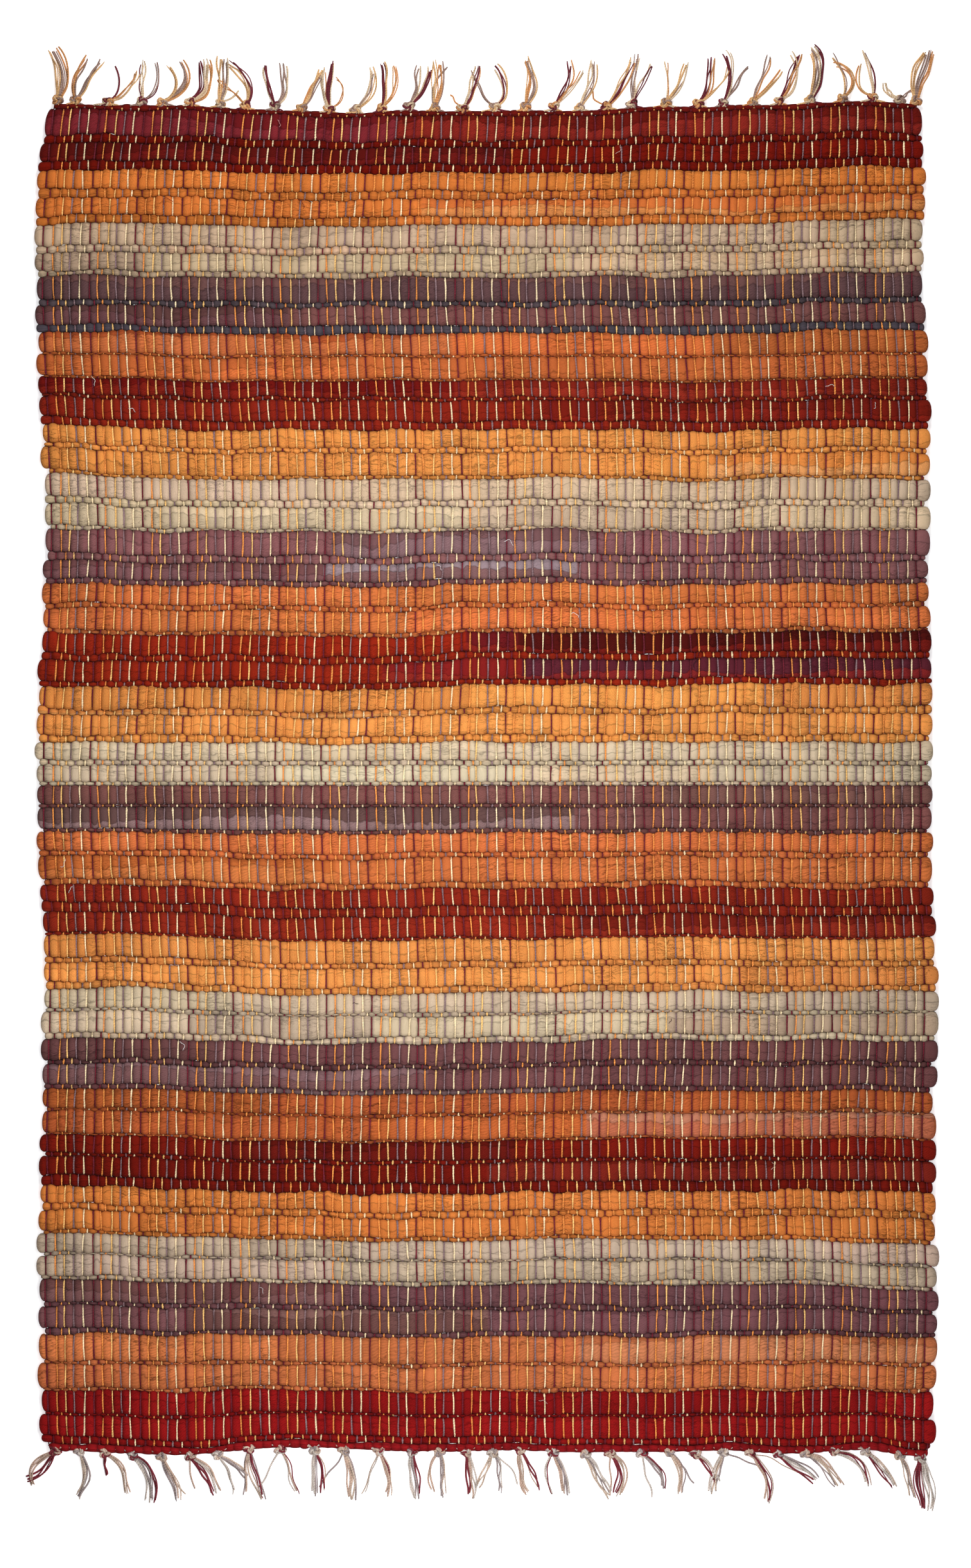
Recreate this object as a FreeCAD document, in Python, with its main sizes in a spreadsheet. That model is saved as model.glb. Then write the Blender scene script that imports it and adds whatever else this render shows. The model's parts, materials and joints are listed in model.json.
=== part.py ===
import FreeCAD, Part
import math
import os

# A handwoven rag rug. X runs across the loom, Y along the warp, Z up. The underside is at z = 0,
# and the origin is under the middle of the rug. Millimetres.
document = FreeCAD.newDocument("rag_rug")


# ---------------------------------------------------------------------------------------------
# Driving dimensions
# ---------------------------------------------------------------------------------------------

DRIVING_SIZES = [
    ("rug_width", 600.0),         # selvedge to selvedge
    ("rug_length", 900.0),        # woven part, without the fringe
    ("narrow_pitch", 4.9),        # room along the warp that a narrow pick takes
    ("header_pitch", 2.8),        # the same for the tight pick outside each end stripe
    ("wide_height", 6.1),         # a wide pick, underside to top
    ("narrow_height", 4.2),
    ("pick_gap", 0.9),            # between neighbouring picks
    ("corner_share", 0.46),       # edge radius as a share of a pick's thinner side
    ("selvedge_step", 3.0),       # how far a narrow pick stops short of a wide one at each side
    ("turn_width", 5.0),          # of the strip where it turns back into the next pick
    ("turn_height", 2.0),
    ("warp_pitch", 6.17),         # from one pair of warp ends to the next
    ("warp_width", 1.2),
    ("warp_height", 0.9),         # a warp yarn pressed flat on the face
    ("warp_margin", 6.5),         # from the selvedge to the first pair of ends
    ("pairs_per_tassel", 3),
    ("knot_width", 8.6),
    ("knot_length", 8.0),
    ("tail_length", 26.0),
    ("tail_root_radius", 2.6),
    ("tail_tip_radius", 1.7),
    ("fringe_lift", 0.3),         # the fringe stops this far above the floor and below the face
]

sheet = document.addObject("Spreadsheet::Sheet", "sizes")
for row, (alias, value) in enumerate(DRIVING_SIZES, start=1):
    sheet.set(f"A{row}", alias)
    sheet.set(f"B{row}", str(value))
    sheet.setAlias(f"B{row}", alias)
document.recompute()


# ---------------------------------------------------------------------------------------------
# Stripes and warp colours, and the lengths worked out from the driving dimensions
# ---------------------------------------------------------------------------------------------

# The stripes from the far end to the near end. A handwoven stripe beats down to its own length, so
# each has a share, and the shares divide the woven length between them.
STRIPES = [
    ("red", 40), ("gold", 36), ("tan", 35), ("purple", 38), ("rust", 32),
    ("red", 33), ("gold", 33), ("tan", 35), ("purple", 36), ("rust", 33),
    ("red", 35), ("gold", 38), ("tan", 29), ("purple", 32), ("rust", 37),
    ("red", 34), ("gold", 36), ("tan", 33), ("purple", 34), ("rust", 32),
    ("red", 35), ("gold", 32), ("tan", 30), ("purple", 35), ("rust", 37),
    ("red", 35),
]
ALL_SHARES = sum(share for colour, share in STRIPES)
FOLD_STRIPE = len(STRIPES) // 2                 # the rug folds in half along its near edge
WARP_COLOURS = ["burgundy", "orange", "gold", "grey", "cream"]

# Each of these is an expression that the document evaluates, in the sheet's own terms.
WOVEN_LENGTH = "(sizes.rug_length - 2 * sizes.header_pitch)"
NARROW_PITCH = "sizes.narrow_pitch"
MIDDLE_HEIGHT = "(sizes.wide_height / 2)"        # of every pick
FULL_HEIGHT = "(sizes.wide_height + sizes.warp_height)"
HALF_LENGTH = "(sizes.rug_length / 2)"
WARP_REACH = "(sizes.rug_width - 2 * sizes.warp_margin)"
WARP_PAIRS = f"(floor({WARP_REACH} / sizes.warp_pitch) + 1)"
FIRST_PAIR = f"(-({WARP_PAIRS} - 1) * sizes.warp_pitch / 2)"
END_OFFSET = "(sizes.warp_pitch / 4)"           # each end of a pair, from the pair's middle


def wide_pitch(number):
    """Room along the warp for each of a stripe's two wide picks."""
    share = STRIPES[number - 1][1]
    return f"({share} / {ALL_SHARES} * {WOVEN_LENGTH} / 2 - {NARROW_PITCH})"


def stripe_far_edge(number):
    before = sum(share for colour, share in STRIPES[:number - 1])
    return f"({HALF_LENGTH} - sizes.header_pitch - {before} / {ALL_SHARES} * {WOVEN_LENGTH})"


# The rug folds in half along this line, and nothing of either half reaches across it.
FOLD_LINE = stripe_far_edge(FOLD_STRIPE + 1)


def bind(thing, **expressions):
    """Bind properties to expressions; a double underscore stands for the dot in a path."""
    for path, expression in expressions.items():
        thing.setExpression(path.replace("__", "."), expression)


def x_axis_of(body):
    return next(item for item in body.Origin.OriginFeatures if item.Role == "X_Axis")


# ---------------------------------------------------------------------------------------------
# Weft: rolled cotton strips, each pick a soft bar with all its edges rounded
# ---------------------------------------------------------------------------------------------

def weft_pick(name, pitch, height, short_of_selvedge, middle_y):
    """One pick across the rug, middle_y from the origin of the node that holds it."""
    pick = document.addObject("PartDesign::Body", name)
    bar = pick.newObject("PartDesign::AdditiveBox", name + "_bar")
    length = f"(sizes.rug_width - 2 * {short_of_selvedge})"
    width = f"({pitch} - sizes.pick_gap)"
    bind(bar, Length=length, Width=width, Height=height,
         Placement__Base__x=f"-{length} / 2",
         Placement__Base__y=f"-{width} / 2",
         Placement__Base__z=f"{MIDDLE_HEIGHT} - {height} / 2")
    document.recompute([bar])
    rounding = pick.newObject("PartDesign::Fillet", name + "_rounding")
    rounding.Base = (bar, ["Edge1"])
    rounding.UseAllEdges = True
    bind(rounding, Radius=f"min({width}; {height}) * sizes.corner_share")
    bind(pick, Placement__Base__y=middle_y)
    pick.Tip = rounding
    return pick


def wide_pick(name, number, middle_y):
    return weft_pick(name, wide_pitch(number), "sizes.wide_height", "0", middle_y)


def narrow_pick(name, number, middle_y):
    return weft_pick(name, NARROW_PITCH, "sizes.narrow_height", "sizes.selvedge_step", middle_y)


def turn(name, side, between_y):
    """The bend at one selvedge where the strip of one pick goes on into the next."""
    bend = document.addObject("Part::Box", name)
    reach = f"(2 * sizes.pick_gap + {NARROW_PITCH} / 2)"
    outer = "(sizes.rug_width / 2 - 2 * sizes.selvedge_step)"
    corner = f"{outer} - sizes.turn_width" if side > 0 else f"-{outer}"
    bind(bend, Length="sizes.turn_width", Width=reach, Height="sizes.turn_height",
         Placement__Base__x=corner,
         Placement__Base__y=f"{between_y} - {reach} / 2",
         Placement__Base__z=f"{MIDDLE_HEIGHT} - sizes.turn_height / 2")
    return bend


def strip_node(label, pieces, far_edge):
    """A node of one continuous strip, placed by the far edge of the room that it takes."""
    strip = document.addObject("Part::MultiFuse", label)
    strip.Label = label
    strip.Shapes = pieces
    bind(strip, Placement__Base__y=far_edge)
    return strip


def pick_node(label, pick, far_edge):
    """A node of a single pick, placed in the same way."""
    node = document.addObject("Part::Compound", label)
    node.Label = label
    node.Links = [pick]
    bind(node, Placement__Base__y=far_edge)
    return node


def stripe_plan(number):
    """A stripe's picks and the turns between them, each by its distance from the far edge. The
    picks go wide, narrow, wide, narrow, and the strip turns at the right, left and right."""
    wide = wide_pitch(number)
    both = f"({wide} + {NARROW_PITCH})"
    picks = [(wide_pick, f"-{wide} / 2"), (narrow_pick, f"-{wide} - {NARROW_PITCH} / 2"),
             (wide_pick, f"-{both} - {wide} / 2"), (narrow_pick, f"-2 * {both} + {NARROW_PITCH} / 2")]
    turns = [(1, f"-{wide}"), (-1, f"-{both}"), (1, f"-{both} - {wide}")]
    return picks, turns


nodes = []
for number, (colour, share) in enumerate(STRIPES, start=1):
    label = f"weft_band_{number:02d}_{colour}"
    picks, turns = stripe_plan(number)
    pieces = [make(f"{label}_pick_{place}", number, middle_y)
              for place, (make, middle_y) in enumerate(picks, start=1)]
    pieces += [turn(f"{label}_turn_{place}", side, between_y)
               for place, (side, between_y) in enumerate(turns, start=1)]
    nodes.append(strip_node(label, pieces, stripe_far_edge(number)))

# The tight header pick outside each end stripe.
for label, way in (("header_pick_far", 1), ("header_pick_near", -1)):
    pick = weft_pick(label + "_pick", "sizes.header_pitch", "sizes.narrow_height",
                     "2 * sizes.selvedge_step", "0")
    nodes.append(pick_node(label, pick, f"{way} * ({HALF_LENGTH} - sizes.header_pitch / 2)"))


# ---------------------------------------------------------------------------------------------
# Warp: yarns laid along the face. Each pair has one end over the wide picks and the other over the
# narrow ones, so the first stands for the pair, and a yarn is as long as its half of the rug.
# ---------------------------------------------------------------------------------------------

def warp_node(label, first_x, spacing, count, near_end, far_end):
    """Equal flat yarns side by side across the rug, lying on the wide picks."""
    body = document.addObject("PartDesign::Body", label)
    body.Label = label
    body.AllowCompound = True
    yarn = body.newObject("PartDesign::AdditiveBox", label + "_yarn")
    bind(yarn, Length="sizes.warp_width", Width=f"{far_end} - ({near_end})",
         Height="sizes.warp_height",
         Placement__Base__x=f"{first_x} - sizes.warp_width / 2",
         Placement__Base__y=near_end,
         Placement__Base__z="sizes.wide_height")
    document.recompute([yarn])
    row = body.newObject("PartDesign::LinearPattern", label + "_row")
    row.Originals = [yarn]
    row.Direction = (x_axis_of(body), [""])
    row.Mode = "Spacing"
    bind(row, Offset=spacing, Occurrences=count)
    body.Tip = row
    return body


OVER_WIDE = f"({FIRST_PAIR} - {END_OFFSET})"       # the first end that floats over wide picks
COLOURS = len(WARP_COLOURS)
HALVES = {
    "near": (f"-{HALF_LENGTH}", f"({FOLD_LINE} - sizes.pick_gap / 2)"),
    "far": (f"({FOLD_LINE} + sizes.pick_gap / 2)", HALF_LENGTH),
}
for half, (near_end, far_end) in HALVES.items():
    for place, colour in enumerate(WARP_COLOURS):
        nodes.append(warp_node(
            label=f"warp_{colour}_{half}",
            first_x=f"{OVER_WIDE} + {place} * sizes.warp_pitch",
            spacing=f"{COLOURS} * sizes.warp_pitch",
            count=f"floor(({WARP_PAIRS} - 1 - {place}) / {COLOURS}) + 1",
            near_end=near_end, far_end=far_end))


# ---------------------------------------------------------------------------------------------
# Fringe: the warp ends knotted in bunches, each a knot with a tapering bundle of loose ends
# ---------------------------------------------------------------------------------------------

def tassel_row(label, way):
    """One end's tassels; way is +1 at the far end and -1 at the near end."""
    body = document.addObject("PartDesign::Body", label)
    body.Label = label
    body.AllowCompound = True
    first_x = f"({FIRST_PAIR} + (sizes.pairs_per_tassel - 1) / 2 * sizes.warp_pitch)"
    knot_y = f"({HALF_LENGTH} + sizes.knot_length / 2)"

    knot = body.newObject("PartDesign::AdditiveEllipsoid", label + "_knot")
    bind(knot, Radius1=f"{FULL_HEIGHT} / 2 - sizes.fringe_lift", Radius2="sizes.knot_width / 2",
         Radius3="sizes.knot_length / 2",
         Placement__Base__x=first_x, Placement__Base__y=f"{way} * {knot_y}",
         Placement__Base__z=f"{FULL_HEIGHT} / 2")
    tail = body.newObject("PartDesign::AdditiveCone", label + "_tail")
    lie_down = FreeCAD.Rotation(FreeCAD.Vector(1, 0, 0), -90 * way)
    tail.Placement = FreeCAD.Placement(FreeCAD.Vector(), lie_down)
    bind(tail, Radius1="sizes.tail_root_radius", Radius2="sizes.tail_tip_radius",
         Height="sizes.tail_length",
         Placement__Base__x=first_x, Placement__Base__y=f"{way} * {knot_y}",
         Placement__Base__z="sizes.tail_root_radius + sizes.fringe_lift")
    document.recompute()

    row = body.newObject("PartDesign::LinearPattern", label + "_row")
    row.TransformMode = "Whole shape"
    row.Direction = (x_axis_of(body), [""])
    row.Mode = "Spacing"
    bind(row, Offset="sizes.pairs_per_tassel * sizes.warp_pitch",
         Occurrences=f"floor({WARP_PAIRS} / sizes.pairs_per_tassel)")
    body.Tip = row
    return body


nodes.append(tassel_row("tassels_far", 1))
nodes.append(tassel_row("tassels_near", -1))


# ---------------------------------------------------------------------------------------------
# Checks and files
# ---------------------------------------------------------------------------------------------

document.recompute()
for thing in document.Objects:
    if "Invalid" in thing.State or "Error" in thing.State:
        raise RuntimeError(f"{thing.Name} did not build: {thing.State}")

os.makedirs("parts", exist_ok=True)
for node in nodes:
    shape = node.Shape
    if shape.isNull() or not shape.isValid() or not shape.Solids:
        raise RuntimeError(f"{node.Label} has no sound shape")
    if math.isclose(shape.Volume, 0.0):
        raise RuntimeError(f"{node.Label} is empty")
    shape.exportStep(os.path.join("parts", node.Label + ".step"))
    print(f"{node.Label}: {len(shape.Solids)} solids, {shape.Volume / 1000:.1f} cm3")
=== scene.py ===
import json
import math
import bpy
import numpy as np
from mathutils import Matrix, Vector


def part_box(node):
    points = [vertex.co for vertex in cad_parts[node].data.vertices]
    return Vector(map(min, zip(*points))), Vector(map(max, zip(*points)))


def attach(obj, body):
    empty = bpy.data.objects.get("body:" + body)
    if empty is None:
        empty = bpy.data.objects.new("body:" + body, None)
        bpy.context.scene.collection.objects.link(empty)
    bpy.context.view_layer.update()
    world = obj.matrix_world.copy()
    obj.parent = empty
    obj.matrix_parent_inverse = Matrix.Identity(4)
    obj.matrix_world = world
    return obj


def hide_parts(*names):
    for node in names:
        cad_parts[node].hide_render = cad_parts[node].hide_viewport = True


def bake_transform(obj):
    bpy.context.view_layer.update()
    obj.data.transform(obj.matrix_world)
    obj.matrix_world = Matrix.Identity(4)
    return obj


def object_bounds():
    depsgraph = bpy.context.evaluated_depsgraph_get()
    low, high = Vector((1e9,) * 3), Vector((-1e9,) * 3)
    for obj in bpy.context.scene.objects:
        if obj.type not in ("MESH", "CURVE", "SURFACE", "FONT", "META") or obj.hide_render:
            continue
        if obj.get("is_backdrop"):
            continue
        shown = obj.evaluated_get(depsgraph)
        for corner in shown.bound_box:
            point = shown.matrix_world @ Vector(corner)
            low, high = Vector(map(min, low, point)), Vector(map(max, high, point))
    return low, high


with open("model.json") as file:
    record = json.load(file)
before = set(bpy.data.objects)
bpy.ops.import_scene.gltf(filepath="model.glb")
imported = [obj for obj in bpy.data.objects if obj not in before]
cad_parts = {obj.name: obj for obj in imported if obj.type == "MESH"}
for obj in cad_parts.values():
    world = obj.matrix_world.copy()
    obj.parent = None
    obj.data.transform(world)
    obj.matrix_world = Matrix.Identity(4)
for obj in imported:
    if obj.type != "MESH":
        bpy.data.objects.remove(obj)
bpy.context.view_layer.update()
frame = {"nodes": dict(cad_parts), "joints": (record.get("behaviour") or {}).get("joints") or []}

for thing in list(bpy.context.selected_objects):
    thing.select_set(False)


# ----------------------------------------
# Weft strips
# Strips of cut-up knitted cotton, rolled as they are thrown and beaten into fat and thin picks.
# The warp ends tie them down, so each pick is a row of soft pillows with a rounded end.
# ----------------------------------------

# Sizes are written in millimetres, and MM turns them into the frame's metres.
MM = 0.001

# How the cloth lies. It has been beaten by hand and then washed, so its lines wander and its sides
# draw in. Everything is laid out square, as on the loom, and then settles by the same movement.
HALF_WIDTH = 300.0
HALF_LENGTH = 450.0
FOLD_Y = frame["joints"][0]["pos_m"][1] / MM
STILL_REACH = 4.0              # the cloth this near to the fold line keeps to it
WAVY_REACH = 60.0              # from here on it wanders freely


def hump(at, middle, reach):
    return np.exp(-((at - middle) / reach) ** 2)


def ease(at, low, high):
    """0 below low, 1 above high, and smooth between."""
    t = np.clip((at - low) / (high - low), 0.0, 1.0)
    return t * t * (3.0 - 2.0 * t)


def beaten_line(x, y):
    """How far, along the warp, the hand-beaten picks at y lie from a straight line."""
    rise = 2.4 * hump(x, -300, 95) * (0.4 + hump(y, 225, 60) + 0.8 * hump(y, -105, 45)
                                      + 1.1 * hump(y, -300, 75) - 0.6 * hump(y, 60, 40))
    rise -= 1.9 * hump(x, -95, 62) * (0.8 + 0.4 * np.sin(y / 47.0))
    rise += 1.7 * hump(x, 250, 110) * (hump(y, 355, 60) + 1.1 * hump(y, 75, 55) + 0.3)
    rise -= 5.6 * hump(x, 320, 120) * hump(y, -330, 42)
    rise += 0.7 * np.sin(x / 61.0 + y / 140.0 + 0.6) + 0.55 * np.sin(x / 27.0 - y / 83.0 + 2.1)
    rise += 0.35 * np.sin(x / 12.5 + y / 38.0)
    rise += hump(y, -450, 34) * (3.2 * hump(x, -108, 42) - 3.4 * hump(x, -210, 38)
                                 - 3.0 * hump(x, 198, 34) - 4.6 * hump(x, 292, 24))
    rise += hump(y, 450, 40) * (2.0 * hump(x, -290, 60) - 2.6 * hump(x, -60, 130)
                                + 2.6 * hump(x, 245, 45))
    still = ease(np.abs(y - FOLD_Y), STILL_REACH, WAVY_REACH)
    return rise * still


def left_side(y):
    return (-300.4 - 2.9 * np.cos(2 * np.pi * (y - 330.0) / 330.0) * (0.35 + 0.65 * ease(y, -250, 0))
            + 3.0 * ease(y, 405, 460))


def right_side(y):
    return (302.4 - 10.0 * ((y + HALF_LENGTH) / (2 * HALF_LENGTH)) ** 2
            + 1.2 * np.sin(y / 31.0) * ease(np.abs(y), 20, 80))


def settled(points):
    """Points in loom order moved to where the cloth has settled; all in millimetres."""
    moved = np.array(points, float)
    x, y = moved[..., 0].copy(), moved[..., 1].copy()
    inside = np.clip(y, -HALF_LENGTH - 6, HALF_LENGTH + 6)
    left, right = left_side(inside), right_side(inside)
    moved[..., 0] = left + (x + HALF_WIDTH) / (2 * HALF_WIDTH) * (right - left)
    moved[..., 1] = y + beaten_line(x, inside)
    return moved


# Where the warp ends run. The first end of each pair floats over the wide picks and the second over
# the narrow ones, and the pairs drift a little sideways along the rug.
WARP_PITCH = 6.17
WARP_PAIRS = 96
END_OFFSET = WARP_PITCH / 4
PAIR_X = (np.arange(WARP_PAIRS) - (WARP_PAIRS - 1) / 2) * WARP_PITCH
chance = np.random.default_rng(96)
pair_shift = chance.normal(0, 0.28, WARP_PAIRS)
pair_drift = chance.uniform(0.1, 0.42, WARP_PAIRS)
pair_wave = chance.uniform(90, 260, WARP_PAIRS)
pair_phase = chance.uniform(0, 2 * np.pi, WARP_PAIRS)


def ends_at(y, which):
    """X of the ends of every pair at y; which is -1 for the ends over wide picks, +1 for the rest."""
    drift = pair_drift * np.sin(np.asarray(y)[..., None] / pair_wave * 2 * np.pi + pair_phase)
    return PAIR_X + pair_shift + drift + which * END_OFFSET


PICK_GAP = 0.9                 # between neighbouring CAD picks
MIDDLE = 3.45                  # height of the middle of the cloth
STRIPE_NODES = sorted(name for name in frame["nodes"] if name.startswith("weft_band_"))


def linear(colour):
    """A colour as a maker writes it, #rrggbb, in the renderer's terms."""
    parts = np.array([int(colour[place:place + 2], 16) for place in (1, 3, 5)]) / 255.0
    return np.where(parts <= 0.04045, parts / 12.92, ((parts + 0.055) / 1.055) ** 2.4)


# What each stripe was dyed, from the far end. The dye lots differ from stripe to stripe.
STRIPE_DYES = [
    "#711409", "#cb7233", "#bda386", "#744845", "#bc6132",
    "#862314", "#de8e46", "#cbb295", "#805354", "#c96c3a",
    "#8c2412", "#df8e47", "#cbb69a", "#744945", "#cb6c3b",
    "#892617", "#da8b47", "#c2ae93", "#694242", "#ac562d",
    "#72170d", "#cb7638", "#b6a08b", "#70474a", "#c0693f",
    "#901616",
]
HEADER_DYES = {"far": "#701812", "near": "#9a1b1f"}
THIN_TAN_LIFT = 1.10           # thin tan picks are paler than the fat ones
# Odd strips that were joined in: stripe, pick (0 to 3), from and to across the rug, and the dyes
# of the strip's far and near sides.
ODD_STRIPS = [
    (1, 0, -300, -60, "#68181b", "#7a262c"), (1, 0, -60, 300, "#66160f", "#82241c"),
    (1, 2, -300, 20, "#58120e", "#691713"), (2, 2, -40, 300, "#c76a33", "#d4864a"),
    (3, 1, -210, -30, "#cda98c", "#c49f80"), (3, 2, 60, 300, "#bd9f80", "#c8ab8c"),
    (4, 0, -300, 300, "#684744", "#5a3f40"), (4, 1, -300, 300, "#50454a", "#564a4e"),
    (4, 2, -300, -130, "#5a3a38", "#664244"), (4, 3, -300, 300, "#4c454c", "#524a52"),
    (5, 0, -300, -20, "#a9502a", "#bd663a"),
    (6, 0, -20, 300, "#7a2014", "#8d2a1c"), (6, 2, 40, 300, "#701a10", "#801f14"),
    (6, 0, -300, -20, "#6a130e", "#7c1e14"), (7, 2, 150, 300, "#d98440", "#e29a5c"),
    (9, 0, -105, 75, "#704e4f", "#7f6063"), (9, 2, -300, -110, "#6e4646", "#785052"),
    (9, 2, -110, 62, "#8f7b80", "#795757"),
    (10, 3, -300, 300, "#bb6336", "#c26d40"),
    (11, 0, -14, 22, "#65171a", "#81211c"), (11, 0, 22, 300, "#4a110e", "#6f1a14"),
    (11, 2, -70, 24, "#7c1c1a", "#87251d"), (11, 2, 24, 300, "#56202a", "#7e2424"),
    (12, 1, -300, -40, "#d48545", "#e09a58"), (14, 2, -300, 60, "#604542", "#866a69"),
    (14, 0, 120, 300, "#6b4542", "#765049"), (15, 2, -300, -100, "#b5602f", "#c4703c"),
    (16, 2, 60, 300, "#6c1c12", "#85281a"), (18, 1, -20, 180, "#c9b4a4", "#bda288"),
    (18, 2, 120, 300, "#bba48c", "#b19880"), (19, 2, -300, -40, "#7d5d5f", "#745050"),
    (19, 3, -190, 60, "#694849", "#745a5b"), (20, 2, 66, 300, "#b4745a", "#b06246"),
    (20, 1, 60, 300, "#b4653f", "#b4653f"), (21, 0, -180, 20, "#57120b", "#641710"),
    (21, 2, 0, 300, "#6a1a10", "#782218"), (23, 1, 30, 300, "#a59384", "#af9980"),
    (24, 2, -200, 0, "#7c5853", "#684541"), (24, 0, -300, -100, "#684341", "#775150"),
    (25, 0, 60, 300, "#b56741", "#c57a52"),
]

# How thick the picks of each stripe were beaten, far pick first: wide, narrow, wide, narrow. The
# hand that threw them never rolled two strips alike.
BEATEN = [
    (14.4, 4.7, 9.9, 5.7), (13.0, 7.0, 12.2, 7.3), (13.2, 5.2, 11.1, 4.0), (16.5, 4.3, 13.0, 6.1),
    (14.4, 1.8, 15.0, 1.8), (11.5, 3.1, 14.3, 7.0), (11.8, 4.0, 15.0, 2.8), (14.0, 5.2, 14.3, 2.3),
    (15.3, 5.6, 11.0, 4.0), (12.2, 3.8, 13.6, 3.0), (13.4, 5.2, 13.2, 4.7), (13.9, 4.7, 12.7, 5.2),
    (11.7, 3.8, 10.6, 3.0), (12.7, 2.6, 15.3, 3.1), (12.5, 4.2, 16.2, 4.7), (12.2, 7.6, 14.6, 1.8),
    (14.1, 4.3, 11.8, 4.9), (12.9, 2.6, 14.4, 4.9), (13.2, 3.8, 13.2, 3.8), (13.6, 2.1, 16.3, 1.9),
    (12.5, 2.8, 12.9, 8.0), (11.5, 5.2, 12.7, 3.1), (11.2, 1.8, 12.0, 2.8), (14.6, 3.5, 15.0, 3.8),
    (18.2, 2.6, 15.6, 2.6), (14.0, 1.8, 13.0, 4.5),
]

# Every pick from the far end to the near end: its stripe and place, edges, and which ends of the
# warp pairs float over it.
picks = [{"stripe": 0, "place": 0, "kind": "header", "far": HALF_LENGTH, "over": 1}]
for stripe, node in enumerate(STRIPE_NODES, start=1):
    low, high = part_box(node)
    far, near = high.y / MM + PICK_GAP / 2, low.y / MM - PICK_GAP / 2
    room = (far - near) / sum(BEATEN[stripe - 1])
    for place, thick in enumerate(BEATEN[stripe - 1]):
        picks.append({"stripe": stripe, "place": place, "far": far,
                      "kind": "narrow" if place % 2 else "wide", "over": 1 if place % 2 else -1})
        far -= thick * room
picks.append({"stripe": len(STRIPE_NODES) + 1, "place": 0, "kind": "header", "far": far, "over": 0})
for pick, after in zip(picks, picks[1:]):
    pick["near"] = after["far"]
picks[-1]["near"] = -HALF_LENGTH
for pick in picks:
    pick["middle"] = (pick["far"] + pick["near"]) / 2

# Each line between two picks wanders by itself too, but not beside the fold.
chance = np.random.default_rng(52)
for number, pick in enumerate(picks):
    still = float(ease(abs(pick["far"] - FOLD_Y), 1.0, 30.0))
    if pick["kind"] == "header" and number == 0:
        still *= 0.5
    pick["wander"] = [(still * chance.uniform(0.12, 0.62), chance.uniform(14, 70) * 2 ** k,
                       chance.uniform(0, 2 * np.pi)) for k in range(3)]


def edge_of(pick, x):
    """Y of the pick's far edge along x."""
    y = np.full_like(x, pick["far"])
    for amount, wave, phase in pick["wander"]:
        y = y + amount * np.sin(2 * np.pi * x / wave + phase)
    return y


# The form of each kind of pick. Its ring has a point at each of these degrees, and its top is at
# groove where a warp end ties it down and at top where it is full. Steps are the stations from one
# tie to the next. Square is 2 for an oval section and more for a boxy one. A low roundness makes full
# pillows with narrow hollows. Slim and tuck_in draw the sides in, the second only at a tie, and bulge
# pushes a full pillow out. Round_end is the length of the rounded end at the side of the rug.
THIN_RING = range(0, 360, 45)
BEAD_STEPS = (0.0, 0.14, 0.36, 0.64, 0.86)
PICK_FORMS = {
    "wide": {"degrees": (0, 28, 52, 90, 128, 152, 180, 208, 248, 292, 332), "groove": 4.70,
             "top": 6.72, "steps": (0.0, 0.085, 0.20, 0.38, 0.62, 0.80, 0.915), "square": 2.5,
             "roundness": 0.46, "slim": 0.0, "tuck_in": 1.4, "bulge": 0.60, "round_end": 4.2},
    "narrow": {"degrees": THIN_RING, "groove": 4.00, "steps": BEAD_STEPS, "square": 2.1,
               "roundness": 0.80, "slim": 0.20, "tuck_in": 1.2, "bulge": 0.0, "round_end": 2.6},
    "header": {"degrees": THIN_RING, "groove": 4.4, "top": 5.6, "steps": BEAD_STEPS, "square": 2.0,
               "roundness": 0.5, "slim": 0.0, "tuck_in": 0.2, "bulge": 0.1, "round_end": 2.6},
}
LOBE_STEPS = np.array([0.16, 0.38, 0.6, 0.78, 0.9, 0.97, 1.0])    # along the lobe at each side
END_SQUARE = 2.3
UNEVEN_SIDES = 1.5             # how far a pick's ends may miss the side of the rug
UNEVEN_HEIGHT, UNEVEN_EDGE, UNEVEN_LEAN = 0.14, 0.28, 0.10
PRESSED = 0.1                  # a pick presses this far into its neighbour
FAR_HEADER_OUT, NEAR_HEADER_OUT = 0.5, 2.2     # beyond the CAD's end of the weaving
TIE_REACH = 1.35               # a warp end shades the strip this far to each side
# Painted shade: how dark the strip is painted beside a tie, and how far from the cloth's middle height
# points are painted darker.
TIE_SHADE, HOLLOW_SHADE_REACH = 0.78, 2.3
LOWEST, HIGHEST = 0.15, 6.95


def puff(x, ties, roundness):
    """How full the pillow is: 0 where a warp end ties it down and 1 midway between two ends. Beyond
    the last end at each side it stays full. Then the mask for painted shade beside an end, 1 at the
    end to 0, and the pillow's number."""
    place = np.searchsorted(ties, x, side="right") - 1
    low = np.where(place < 0, ties[0] - WARP_PITCH, ties[np.clip(place, 0, len(ties) - 1)])
    high = np.where(place >= len(ties) - 1, ties[-1] + WARP_PITCH,
                    ties[np.clip(place + 1, 0, len(ties) - 1)])
    t = np.clip((x - low) / (high - low), 0, 1)
    full = np.clip(np.sin(np.pi * np.clip((t - 0.05) / 0.90, 0, 1)), 0, 1) ** roundness
    outside = (place < 0) & (t < 0.5) | (place >= len(ties) - 1) & (t > 0.5)
    beside = np.clip(1 - np.minimum(t, 1 - t) * (high - low) / TIE_REACH, 0, 1)
    return np.where(outside, 1.0, full), np.where(outside, 0.0, beside), place + 1


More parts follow.
